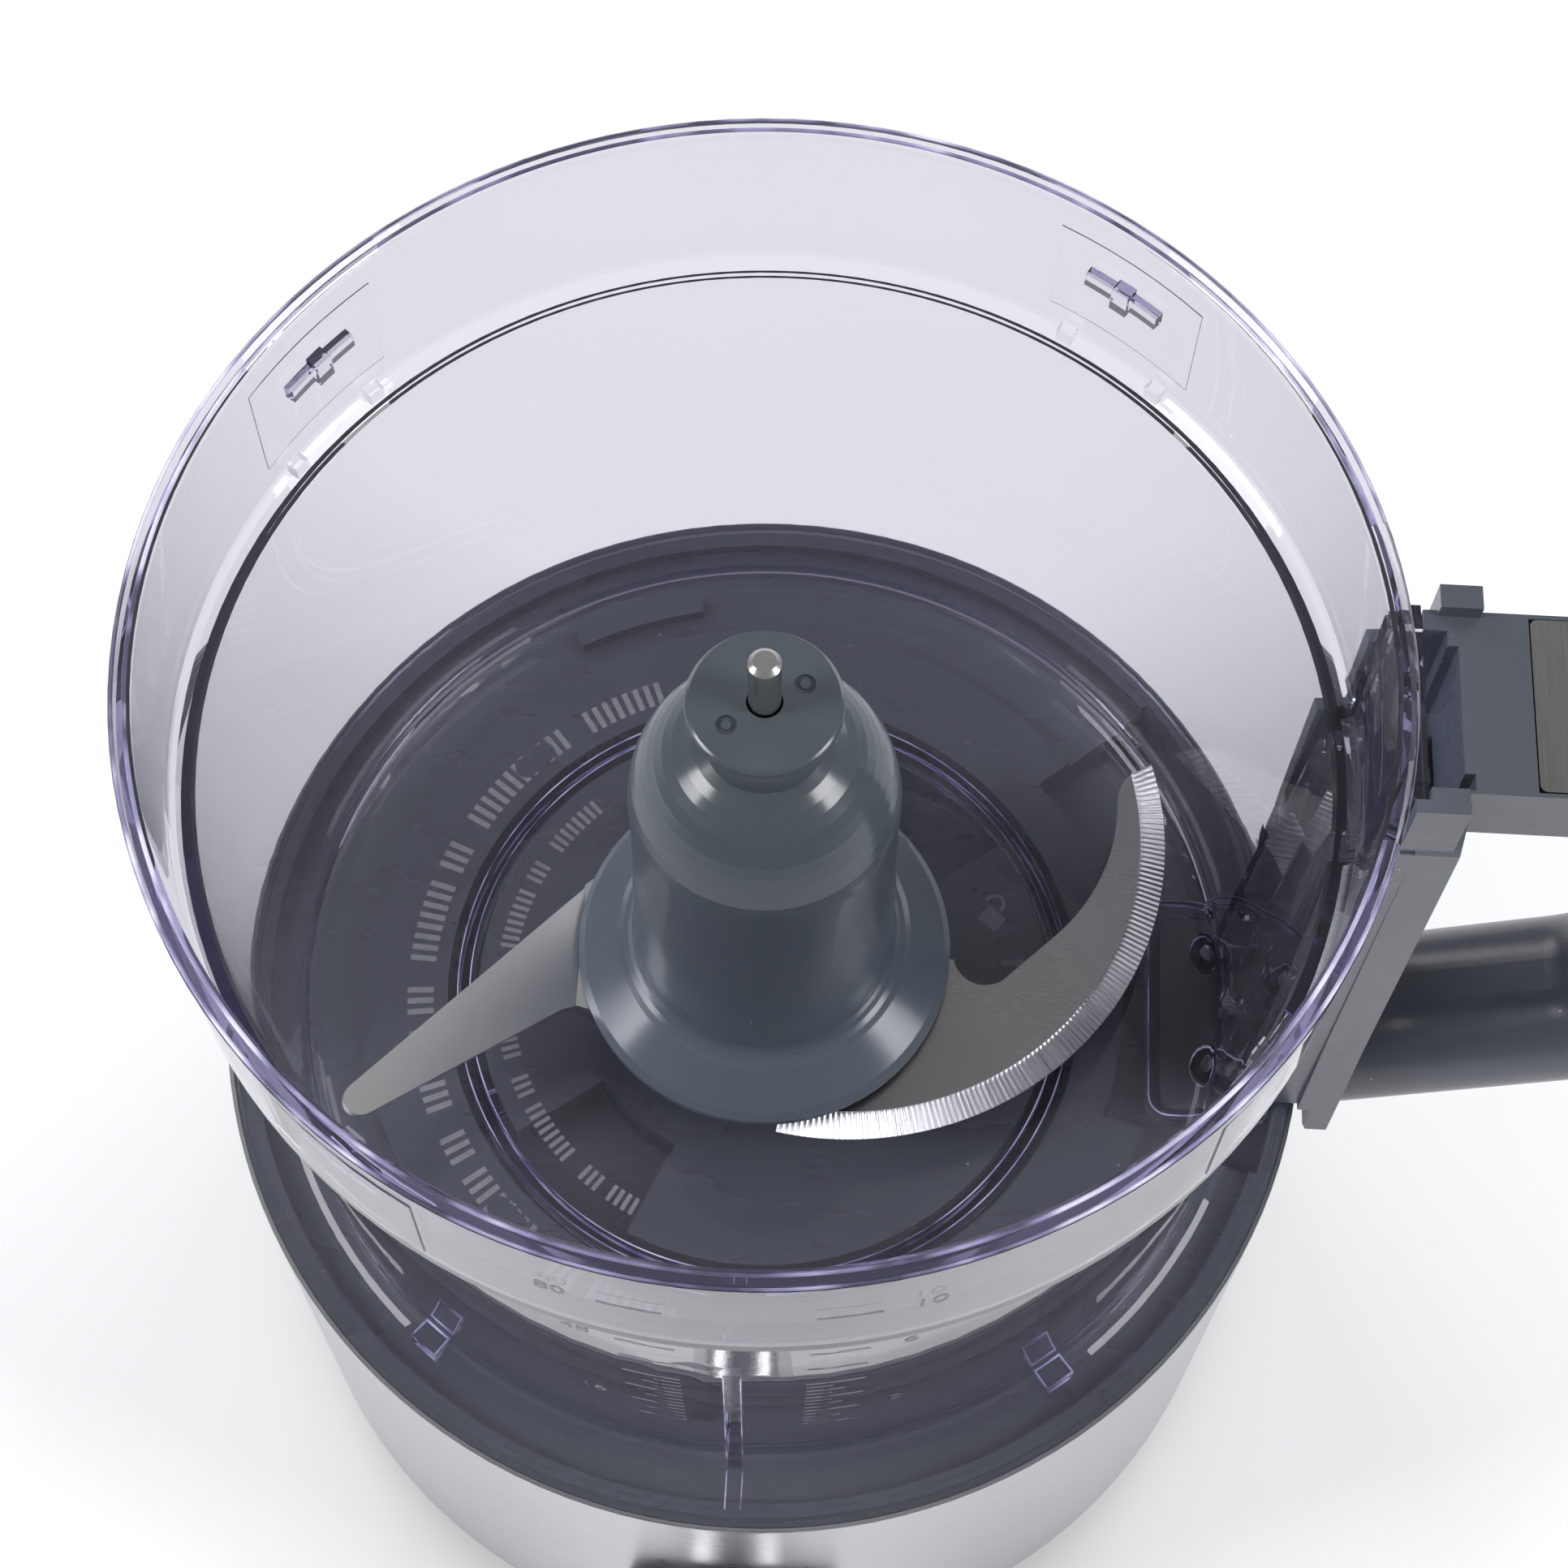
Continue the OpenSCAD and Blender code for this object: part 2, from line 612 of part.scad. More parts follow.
module bowl_shell() {
    wall_in = foot_r - wall_t;
    rotate_extrude($fn = 180) polygon(concat(
        [[tube_r0, bowl_z0], [flange_r - 0.4, bowl_z0], [flange_r, bowl_z0 + 0.4],
         [flange_r, bowl_z0 + 3.9], [flange_r - 0.4, bowl_z0 + 4.3], [flange_r - 1.2, bowl_z0 + 4.3],
         [flange_r - 1.6, bowl_z0 + 3.9], [flange_r - 1.6, flange_z]],
        [for (a = [270 : -15 : 180]) [foot_r + 5.3 + 5 * cos(a), flange_z + 5 + 5 * sin(a)]],
        [[shoulder_r, ledge_z - 3.4], [band_r - 0.5, ledge_z - 0.8], [band_r, ledge_z + 0.6],
         [band_r, rim_z - 4], [rim_r, rim_z - 3.2], [rim_r, rim_z - 0.6], [rim_r - 0.6, rim_z],
         [band_in + 0.7, rim_z], [band_in, rim_z - 0.7], [band_in, ledge_z + 0.8],
         [band_in - 0.8, ledge_z], [shoulder_r - wall_t + 0.6, ledge_z],
         [shoulder_r - wall_t, ledge_z - 0.7]],
        [for (a = [0 : -15 : -90]) [wall_in - 3.6 + 3.6 * cos(a), floor_z + 3.6 + 3.6 * sin(a)]],
        [for (a = [270 : -22.5 : 180]) [tube_r1 + 3 + 3 * cos(a), floor_z + 3 + 3 * sin(a)]],
        [[tube_r1 - 0.1, tube_z - 0.8], [tube_r1 - 0.9, tube_z], [tube_r0, tube_z]]));
}

// one lid-lock station: a bar with a centre block on the band, two stops on the ledge
module lid_station() {
    arc(band_in - 1.9, band_in + 0.5, rim_z - 17, rim_z - 14, -4.4, 4.4);
    arc(band_in - 2.6, band_in + 0.5, rim_z - 18.2, rim_z - 12.8, -1, 1);
    for (a = [-5.7, 5.7]) arc(band_in - 2.2, band_in + 0.5, ledge_z - 0.5, ledge_z + 3, a - 0.9, a + 0.9);
    arc(band_r - 0.5, band_r + 0.2, ledge_z + 5, rim_z - 9, -8.5, 8.5);
}

// clear rail that the handle hangs on
module handle_rail() {
    difference() {
        union() {
            for (s = [-1, 1]) box([88, rail_x], [s * 13 - 1.2, s * 13 + 1.2], [flange_z - 0.5, rim_z - 6]);
            box([rail_x - 2.4, rail_x], [-16.5, 16.5], [flange_z - 0.5, rim_z - 7]);
            for (z = [ledge_z + 6, ledge_z + 20]) box([92, rail_x - 1], [-13, 13], [z, z + 2]);
            for (s = [-1, 1], z = handle_screw_z) translate([88, s * handle_screw_y, z])
                rotate([0, 90, 0]) cylinder(r = 3.2, h = rail_x - 89);
        }
        rod(foot_r - 0.5, bowl_z0, ledge_z - 50);
        rod(shoulder_r - 1.6, ledge_z - 51, ledge_z);
        rod(band_r - 1, ledge_z - 1, rim_z + 1);
        for (s = [-1, 1], z = handle_screw_z) translate([95.2, s * handle_screw_y, z])
            rotate([0, 90, 0]) cylinder(r = 1.75, h = 8);
        // window for the rod's foot
        box([rail_x - 4, rail_x + 1], [-7, 7], [rod_foot_z - press - 0.8, rod_foot_z + 4]);
    }
}

module bowl() {
    color(CLEAR) difference() {
        union() {
            bowl_shell();
            for (a = station_a) rotate(a) lid_station();
            handle_rail();
            // front rib up the wall and out over the flange
            rotate(-90) difference() {
                union() {
                    box([foot_r - 1, foot_r + 3.4], [-1.5, 1.5], [flange_z - 0.5, 196]);
                    box([foot_r - 1, flange_r - 1], [-1.5, 1.5], [flange_z - 0.5, flange_z + 1.5]);
                }
                rod(foot_r - 0.8, 100, 300);
            }
            for (a = [-127.5, -52.5])
                arc(foot_r - 0.3, foot_r + 4.6, flange_z - 0.5, flange_z + 4.2, a - 1.7, a + 1.7);
            // locking ring with its two hooks, open at the front
            difference() {
                union() {
                    ring(lock_r0, lock_r1, lock_z, bowl_z0 + 0.5);
                    for (a = hook_a)
                        arc(52.4, lock_r0 + 0.5, lock_z, lock_z + hook_h, a - hook_half, a + hook_half);
                }
                arc(lock_r0 - 1, lock_r1 + 1, lock_z - 1, bowl_z0, -96.5, -87);
            }
            // pocket under the floor, with its two screw bosses
            pad(pocket_x, [-pocket_w / 2, pocket_w / 2], [pocket_z, bowl_z0 + 0.5], 4);
        }
        pad([pocket_x[0] + 2.4, pocket_x[1] - 1.4], [-pocket_w / 2 + 2.4, pocket_w / 2 - 2.4],
            [pocket_z - 1, bowl_z0], 2.6);
        // bore for the rod's peg, and room for its spring
        at_polar(peg_x, 0) rod(peg_bore, pocket_z - 1, flange_z + 1);
        at_polar(peg_x, 0) rod(3.8, flange_z, rod_foot_z + 4);
    }
    color(CLEAR) for (s = [-1, 1]) translate([85.8, s * 11.4, 0]) ring(1.7, 4, pocket_z + 2, bowl_z0 + 0.2);
}

// cross-section of the grip and the lower arm: as wide as the top arm, with round sides
module grip_section(r = grip_r) {
    half = arm_w / 2 - grip_r;
    for (s = [-1, 1]) translate([0, s * half]) circle(r, $fn = 64);
    translate([-r, -half]) square([2 * r, 2 * half]);
}

// upright grip, its lower bend, and the lower arm that slopes down to the post
module grip() {
    core_r = grip_r - 1.5;
    translate([grip_x, 0, bend_z]) linear_extrude(arm_z - corner_r - bend_z + 2) grip_section();
    // cores that run across both ends of the bend
    translate([grip_x, 0, bend_z - 2]) linear_extrude(4) grip_section(core_r);
    translate([grip_x - bend_r + bend_r * sin(arm_rise), 0, bend_z - bend_r * cos(arm_rise)])
        rotate([0, -90 - arm_rise, 0]) translate([0, 0, -2]) linear_extrude(4) grip_section(core_r);
    translate([grip_x - bend_r, 0, bend_z]) rotate([90, 0, 0]) rotate(arm_rise - 90)
        rotate_extrude(angle = 90 - arm_rise) translate([bend_r, 0]) grip_section();
    difference() {
        translate([grip_x - bend_r + bend_r * sin(arm_rise), 0, bend_z - bend_r * cos(arm_rise)])
            rotate([0, -90 - arm_rise, 0]) linear_extrude(58) grip_section();
        box([70, foot_x], [-30, 30], [70, 200]);
        box([70, 200], [-30, 30], [70, handle_z0]);
    }
}

// top arm, with its outer corner round in side view and in plan
module top_arm() {
    intersection() {
        rotate([90, 0, 0]) translate([0, 0, -arm_w / 2]) linear_extrude(arm_w) union() {
            translate([post_x[0], arm_z - 14]) square([handle_x - corner_r - post_x[0], 14]);
            translate([handle_x - corner_r, arm_z - corner_r]) intersection() {
                circle(corner_r, $fn = 96);
                translate([-1, 0]) square(corner_r + 1);
            }
        }
        union() {
            box([90, grip_x], [-arm_w / 2, arm_w / 2], [arm_z - 14, arm_z + 1]);
            translate([grip_x, 0, arm_z - 30]) linear_extrude(31) grip_section();
        }
    }
}

// post behind the bowl's rail, a little wider at its foot
module post() {
    intersection() {
        union() {
            box(post_x, [-24, 24], [post_z0, arm_z - 2]);
            box([foot_x, post_x[1]], [-24, 24], [handle_z0, post_z0 + 1]);
        }
        translate([90, 0, 0]) rotate([90, 0, 90]) linear_extrude(30)
            polygon([[-19, handle_z0], [-21, handle_z0 + 3], [-20, 160],
                     [-19.6, arm_z - 14.6], [-arm_w / 2, arm_z - 4],
                     [arm_w / 2, arm_z - 4], [19.6, arm_z - 14.6], [20, 160], [21, handle_z0 + 3], [19, handle_z0]]);
    }
}

module handle_body() {
    color(PLASTIC) difference() {
        union() {
            top_arm();
            post();
            grip();
            // cheeks that close the gap between the post and the bowl's wall
            for (s = [-1, 1]) difference() {
                box([91, rail_x + 0.4], [s * cheek_y - 1.1, s * cheek_y + 1.1], [post_z0, arm_z - 14.6]);
                rod(shoulder_r + 0.5, 100, ledge_z - 9.9);
            }
            // raised block and front tab beside the lid slot
            box([rail_x + 2.4, 110], [arm_w / 2 - 1, arm_w / 2 + 3], [arm_z - 26, arm_z + 3]);
            box([rail_x - 2.2, 107], [-arm_w / 2 - 3.7, -arm_w / 2 + 0.6], [arm_z - 20, arm_z + 0.4]);
        }
        rod(band_r + 0.75, ledge_z - 10, rim_z + 10);
        box([96, rail_x + 0.2], [-17, 17], [132.5, rim_z]);
        // slot for the lid's tab, stepped at both ends
        box([rail_x - 3, tab_slot_x[1] - 1.6], [-arm_w / 2 + 0.6, 12], [arm_z - 24, arm_z + 10]);
        box([rail_x - 3, tab_slot_x[1]], [-12.4, 9.4], [arm_z - 24, arm_z + 10]);
        box([rail_x - 3, tab_slot_x[1] + 1.6], [-arm_w / 2 + 0.6, -12.2], [arm_z - 10, arm_z + 10]);
        // channel for the rod, and its way out at the foot
        box([rod_x - 1.9, rod_x + 1.9], [-5.3, 5.3], [rod_foot_z - press - 0.6, arm_z - 20]);
        box([90, rod_x + 1.9], [-5.3, 5.3], [rod_foot_z - press - 0.6, rod_foot_z + 3.6]);
        // seat for the steel inlay
        box([117.4, handle_x - corner_r - 0.8], [-arm_w / 2 + 0.7, arm_w / 2 - 0.7],
            [arm_z - 1.2, arm_z + 5]);
        // screw holes through the post, their heads sunk in the finger gap's face
        for (s = [-1, 1], z = handle_screw_z) translate([post_x[0] - 1, s * handle_screw_y, z])
            rotate([0, 90, 0]) {
                cylinder(r = 1.8, h = 9);
                translate([0, 0, handle_seat_x - post_x[0] + 1]) cylinder(r = 3.1, h = 6);
            }
    }
}

module handle_inlay() {
    color("gray") pad([117.6, handle_x - corner_r - 1], [-arm_w / 2 + 0.9, arm_w / 2 - 0.9],
                      [arm_z - 1.2, arm_z + 0.1], 1.2);
}

module handle_screws() {
    color("silver") for (s = [-1, 1], z = handle_screw_z)
        translate([handle_seat_x, s * handle_screw_y, z]) rotate([0, -90, 0]) screw(1.7, 2.9, 2, 10);
}

module rod_guide_plate() {
    color("#33383d") difference() {
        pad([pocket_x[0] + 2.6, pocket_x[1] - 1.6], [-pocket_w / 2 + 2.6, pocket_w / 2 - 2.6],
            [pocket_z, pocket_z + 2], 2.4);
        // open slot for the peg
        at_polar(peg_x, 0) rod(peg_bore, pocket_z - 1, pocket_z + 3);
        box([peg_x, pocket_x[1]], [-peg_bore, peg_bore], [pocket_z - 1, pocket_z + 3]);
        for (s = [-1, 1]) translate([85.8, s * 11.4, 0]) rod(1.7, pocket_z - 1, pocket_z + 3);
    }
}

module guide_screws() {
    color("silver") for (s = [-1, 1]) translate([85.8, s * 11.4, pocket_z]) screw(1.6, 2.8, 1.4, 4);
}

module rod_spring() {
    color("silver") translate([peg_x, 0, 0]) coil(3, 0.35, flange_z, rod_foot_z, 4);
}

module interlock_rod() {
    color("#15171a") {
        box([rod_x - 1.5, rod_x + 1.5], [-4.8, 4.8], [rod_foot_z, arm_z - 22]);
        box([peg_x, rod_x + 1.5], [-3.2, 3.2], [rod_foot_z, rod_foot_z + 3]);
        at_polar(peg_x, 0) rod(3.2, rod_foot_z, rod_foot_z + 3);
        at_polar(peg_x, 0) rod(peg_r, plunger_top + 0.1, rod_foot_z + 0.1);
    }
}

// ---- interlock in the base ----

module base_plunger() {
    color("#15171a") at_polar(peg_x, 0) {
        rod(2.6, plunger_stop_z - 2, plunger_top);
        rod(4.4, plunger_stop_z - 2, plunger_stop_z);
        rod(1.3, 100, plunger_stop_z - 1.9);
    }
}

module plunger_spring() {
    color("silver") translate([peg_x, 0, 0]) coil(3.2, 0.35, 96, plunger_stop_z - 2, 5);
}

// ---- control knob ----

module control_knob() {
    color("#c4c7ca") translate([0, -base_r, knob_z]) rotate([90, 0, 0]) difference() {
        union() {
            translate([0, 0, 2.2]) rotate_extrude() polygon([[0, 0], [knob_r, 0], [knob_r, 3],
                [knob_r - 1.2, 4.4], [knob_r - 2.6, 17], [knob_r - 4, 18.6], [0, 18.6]]);
            translate([-2.4, 4, 4]) cube([4.8, knob_r - 5.2, 17.6]);
        }
        translate([0, 0, 1]) cylinder(r = 3.05, h = 14);
        difference() {
            translate([0, 0, 1]) cylinder(r = knob_r - 4.4, h = 14);
            cylinder(r = 6, h = 20);
            for (a = [0, 90]) rotate(a) translate([-1, -knob_r, 0]) cube([2, 2 * knob_r, 20]);
        }
    }
}

module switch_spindle() {
    color("#e8e8e4") translate([0, -81, knob_z]) rotate([90, 0, 0]) cylinder(r = 3, h = base_r + 14 - 81);
}

rubber_feet();
bottom_tray();
tray_screws();
steel_band();
base_cover();
stator_core();
stator_windings();
upper_bracket();
lower_bracket();
motor_bolts();
motor_grommets();
upper_bearing();
lower_bearing();
tower_bush();
spindle_seal();
run_capacitor();
control_board();
selector_switch();
knob_bezel();
interlock_switch();
switch_bracket();
cord_gland();
drive_spindle();
rotor_core();
cooling_fan();
shaft_clip();
blade_hub();
hub_socket();
lower_blade();
upper_blade();
blade_collar();
bowl();
handle_body();
handle_inlay();
handle_screws();
rod_guide_plate();
guide_screws();
rod_spring();
interlock_rod();
base_plunger();
plunger_spring();
control_knob();
switch_spindle();
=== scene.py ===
import bpy, json, math
from mathutils import Matrix, Vector


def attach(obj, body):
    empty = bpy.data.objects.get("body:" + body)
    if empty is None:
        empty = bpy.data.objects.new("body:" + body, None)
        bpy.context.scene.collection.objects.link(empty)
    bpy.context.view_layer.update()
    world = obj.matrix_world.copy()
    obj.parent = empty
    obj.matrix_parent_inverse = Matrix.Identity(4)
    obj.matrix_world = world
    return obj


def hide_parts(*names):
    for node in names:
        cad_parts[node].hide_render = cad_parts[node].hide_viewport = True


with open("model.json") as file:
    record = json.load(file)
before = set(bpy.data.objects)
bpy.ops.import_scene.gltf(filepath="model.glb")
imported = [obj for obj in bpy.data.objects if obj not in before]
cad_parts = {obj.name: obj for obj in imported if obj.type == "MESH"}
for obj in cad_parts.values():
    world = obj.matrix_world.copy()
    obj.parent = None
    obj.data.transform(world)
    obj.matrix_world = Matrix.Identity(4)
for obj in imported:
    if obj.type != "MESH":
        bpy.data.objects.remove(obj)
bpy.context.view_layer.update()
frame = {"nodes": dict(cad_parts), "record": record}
nodes = frame["nodes"]

# The row frame has X to the handle, Y to the back and Z up from the table under the spindle.
# Pieces are given in millimetres, and materials, lamps and the camera in metres.
MM = 0.001
PRINT = 0.06                # how far a print stands off a wall
WALL_FOOT_Z = 126           # the bowl's wall starts here and widens up to the ledge
WALL_FOOT_R = 89.4
WALL_TAPER = 0.0505         # growth of the wall's radius with height
LEDGE_Z = 228
LID_BAND_R = 98.1           # straight band above the ledge
STEEL_BAND_R = 103
DECK_PRINT_Z = 121.24
KNOB_Z = 62
KNOB_DEPTH = 21.6


# ---- material tools ----

def srgb(r, g, b):
    """A display colour, from 0 to 255, as linear RGBA."""
    def linear(c):
        c /= 255.0
        return c / 12.92 if c <= 0.04045 else ((c + 0.055) / 1.055) ** 2.4
    return (linear(r), linear(g), linear(b), 1.0)


def shade(colour, factor, lift=0.0):
    """The colour made darker or lighter."""
    return tuple(min(1, c * factor + lift) for c in colour[:3]) + (1,)


class Tree:
    """A material's node tree, with helpers that add a node and return its output."""

    def __init__(self, name):
        self.material = bpy.data.materials.new(name)
        self.material.use_nodes = True
        self.tree = self.material.node_tree
        self.shader = self.tree.nodes["Principled BSDF"]
        self.out = self.tree.nodes["Material Output"]
        self.coordinates = None

    def node(self, kind, **props):
        node = self.tree.nodes.new("ShaderNode" + kind)
        for key, value in props.items():
            setattr(node, key, value)
        return node

    def link(self, output, socket):
        self.tree.links.new(output, socket)

    def put(self, socket, value):
        """Links another node's output to the socket, or sets it to a constant."""
        if isinstance(value, bpy.types.NodeSocket):
            self.link(value, socket)
        else:
            socket.default_value = value

    def set(self, **inputs):
        """Sets inputs of the Principled BSDF, and returns the material."""
        for key, value in inputs.items():
            self.put(self.shader.inputs[key.replace("_", " ")], value)
        return self.material

    def pos(self):
        """Object coordinates, which are the row frame at rest, in metres."""
        if self.coordinates is None:
            self.coordinates = self.node("TexCoord").outputs["Object"]
        return self.coordinates

    def math(self, op, a, b=0.0, c=0.0):
        node = self.node("Math", operation=op)
        for socket, value in zip(node.inputs, (a, b, c)):
            self.put(socket, value)
        return node.outputs[0]

    def times(self, a, b):
        return self.math("MULTIPLY", a, b)

    def length(self, a, b):
        return self.math("SQRT", self.math("ADD", self.times(a, a), self.times(b, b)))

    def split(self, vector):
        node = self.node("SeparateXYZ")
        self.link(vector, node.inputs[0])
        return node.outputs

    def join(self, x, y, z):
        node = self.node("CombineXYZ")
        for socket, value in zip(node.inputs, (x, y, z)):
            self.put(socket, value)
        return node.outputs[0]

    def polar(self, centre=(0, 0)):
        """Radius in metres, angle in turns from 0 to 1, and height, about a vertical line."""
        x, y, z = self.split(self.pos())
        dx = self.math("SUBTRACT", x, centre[0])
        dy = self.math("SUBTRACT", y, centre[1])
        turns = self.math("MULTIPLY_ADD", self.math("ARCTAN2", dy, dx), 1 / math.tau, 0.5)
        return self.length(dx, dy), turns, z

    def scaled(self, scale):
        node = self.node("Mapping")
        self.link(self.pos(), node.inputs["Vector"])
        node.inputs["Scale"].default_value = scale
        return node.outputs[0]

    def noise(self, vector, scale=1.0, detail=4.0, rough=0.55):
        node = self.node("TexNoise")
        for key, value in (("Vector", vector), ("Scale", scale), ("Detail", detail), ("Roughness", rough)):
            self.put(node.inputs[key], value)
        return node.outputs[0]

    def ramp(self, factor, stops):
        node = self.node("ValToRGB")
        self.put(node.inputs[0], factor)
        elements = node.color_ramp.elements
        while len(elements) < len(stops):
            elements.new(0.5)
        for element, (position, colour) in zip(elements, stops):
            element.position = position
            element.color = colour
        return node.outputs[0]

    def mix(self, factor, a, b):
        node = self.node("Mix", data_type="RGBA")
        # inputs 6 and 7 and output 2 are the colours among the node's data types
        for i, value in ((0, factor), (6, a), (7, b)):
            self.put(node.inputs[i], value)
        return node.outputs[2]

    def remap(self, value, low, high, to_low=0.0, to_high=1.0):
        node = self.node("MapRange")
        for socket, v in zip(node.inputs, (value, low, high, to_low, to_high)):
            self.put(socket, v)
        return node.outputs[0]

    def bump(self, height, strength, distance):
        node = self.node("Bump")
        for key, value in (("Strength", strength), ("Distance", distance), ("Height", height)):
            self.put(node.inputs[key], value)
        return node.outputs[0]


# ---- materials ----

def moulded(name, colour, rough=0.38, grain=0.25, dust=0.0, spread=0.05, handle=None):
    """Moulded plastic: fine mould grain, soft blotches and a little dust.

    handle is the colour of the batch that the handle is moulded from.
    """
    handle_x, handle_z = 0.1035, 0.126      # the base cover's deck and bays stay inside both
    t = Tree(name)
    blotches = t.noise(t.pos(), 14.0, 3.0)

    def batch(colour):
        return t.mix(t.remap(blotches, 0.35, 0.65), shade(colour, 1 - spread), shade(colour, 1 + spread, 0.002))

    base = batch(colour)
    if handle:
        x, y, z = t.split(t.pos())
        outside = t.math("MAXIMUM", t.math("GREATER_THAN", x, handle_x), t.math("GREATER_THAN", z, handle_z))
        base = t.mix(outside, base, batch(handle))
    grit = t.noise(t.pos(), 2600.0, 2.0)
    if dust:
        cells = t.node("TexVoronoi", feature="F1")
        t.put(cells.inputs["Vector"], t.pos())
        t.put(cells.inputs["Scale"], 160.0)
        speck = t.math("LESS_THAN", cells.outputs["Distance"], 0.035)
        rare = t.math("GREATER_THAN", t.noise(t.pos(), 60.0, 1.0), 0.56)
        base = t.mix(t.times(t.times(speck, rare), dust), base, srgb(190, 190, 188))
    smear = t.noise(t.scaled((22.0, 55.0, 30.0)), 1.0, 5.0)
    return t.set(Base_Color=base, Roughness=t.remap(smear, 0.3, 0.7, rough - 0.015, rough + 0.025),
                 Normal=t.bump(grit, grain, 0.00012), IOR=1.5)


def clear_plastic():
    """Clear moulding: refracting, violet in its depth, faintly smeared. Lamps shine through it."""
    t = Tree("clear_polycarbonate")
    smear = t.noise(t.scaled((9.0, 9.0, 16.0)), 1.0, 4.0)
    waves = t.noise(t.pos(), 35.0, 3.0)
    t.set(Base_Color=(0.715, 0.72, 0.745, 1), Transmission_Weight=0.985, IOR=1.36,
          Roughness=t.remap(smear, 0.45, 0.8, 0.0, 0.03), Normal=t.bump(waves, 0.005, 0.001))
    to_lamps = t.node("BsdfTransparent")
    t.put(to_lamps.inputs["Color"], (0.9, 0.9, 0.93, 1))
    either = t.node("MixShader")
    t.link(t.node("LightPath").outputs["Is Shadow Ray"], either.inputs[0])
    t.link(t.shader.outputs[0], either.inputs[1])
    t.link(to_lamps.outputs[0], either.inputs[2])
    t.link(either.outputs[0], t.out.inputs["Surface"])
    depth = t.node("VolumeAbsorption")
    t.put(depth.inputs["Color"], (0.56, 0.52, 0.84, 1))
    t.put(depth.inputs["Density"], 34.0)
    t.link(depth.outputs[0], t.out.inputs["Volume"])
    return t.material


def brushed(name, colour, rough, lines, aniso=0.0, streak=0.12, relief=0.12, vary=0.045):
    """Brushed or cast metal. lines gives the coordinate of its grain."""
    t = Tree(name)
    fine = t.noise(lines(t), 1.0, 3.0, 0.6)
    wide = t.noise(t.pos(), 9.0, 3.0)
    t.set(Metallic=1.0,
          Base_Color=t.mix(t.remap(fine, 0.25, 0.75), shade(colour, 1 - streak), colour),
          Roughness=t.math("ADD", t.remap(fine, 0.3, 0.7, rough - vary, rough + vary),
                           t.remap(wide, 0.3, 0.7, -0.02, 0.03)),
          Normal=t.bump(fine, relief, 0.00015))
    if aniso:
        tangent = t.node("Tangent", direction_type="RADIAL", axis="Z")
        t.set(Anisotropic=aniso, Tangent=tangent.outputs[0])
    return t.material


def round_z(t, per_m=9000.0):
    """Lines that run round the Z axis."""
    r, turns, z = t.polar()
    return t.join(t.times(turns, 14.0), t.times(z, per_m), t.times(r, per_m))


def round_knob(t, per_m=9000.0):
    """Lines that run round the knob's axis."""
    x, y, z = t.split(t.pos())
    r = t.length(x, t.math("SUBTRACT", z, KNOB_Z * MM))
    return t.join(t.times(r, per_m), t.times(y, per_m), 0.0)


def along_y(t):
    """Lines that run along Y on a level face."""
    x, y, z = t.split(t.pos())
    return t.join(t.times(x, 7000.0), t.times(y, 60.0), 0.0)


def straight(x, y, z):
    """Straight lines or an even grain, from its scale per metre along each axis."""
    return lambda t: t.scaled((x, y, z))


def ground_steel():
    """Freshly ground bevel, with its grinding lines along the slope."""
    t = Tree("ground_steel")
    r, turns, z = t.polar((BEVEL_CENTRE[0] * MM, BEVEL_CENTRE[1] * MM))
    lines = t.noise(t.join(t.times(turns, 2600.0), t.times(r, 60.0), 0.0), 1.0, 3.0, 0.6)
    return t.set(Metallic=1.0, Base_Color=t.mix(lines, (0.3, 0.3, 0.31, 1), (0.52, 0.52, 0.53, 1)),
                 Roughness=t.remap(lines, 0.3, 0.7, 0.24, 0.36), Normal=t.bump(lines, 0.25, 0.0001))


def board():
    """Circuit board with patches of parallel tracks."""
    t = Tree("board")
    x, y, z = t.split(t.pos())
    track = t.math("LESS_THAN", t.math("FRACT", t.times(t.math("ADD", y, t.times(z, 0.35)), 160.0)), 0.3)
    patch = t.math("GREATER_THAN", t.noise(t.pos(), 55.0, 1.0), 0.5)
    return t.set(Base_Color=t.mix(t.times(track, patch), srgb(34, 86, 52), srgb(58, 118, 74)), Roughness=0.35)


def painted_edge_highlight():
    """Painted highlights for rounded clear edges, which come and go along their length."""
    t = Tree("painted_edge_highlight")
    # painted highlight: the colour runs from dark violet to near white along the wires
    painted_highlight_colour = t.ramp(t.noise(t.pos(), 70.0, 2.0),
                   [(0.38, srgb(74, 70, 98)), (0.52, srgb(150, 147, 182)), (0.66, srgb(222, 220, 238))])
    return t.set(Base_Color=painted_highlight_colour, Roughness=0.16, IOR=1.5, Coat_Weight=0.6, Coat_Roughness=0.05)


def print_ink(name, colour):
    """Slightly worn print."""
    t = Tree(name)
    worn = t.noise(t.pos(), 900.0, 2.0)
    return t.set(Base_Color=t.mix(t.remap(worn, 0.3, 0.6), shade(colour, 0.8), colour), Roughness=0.5)


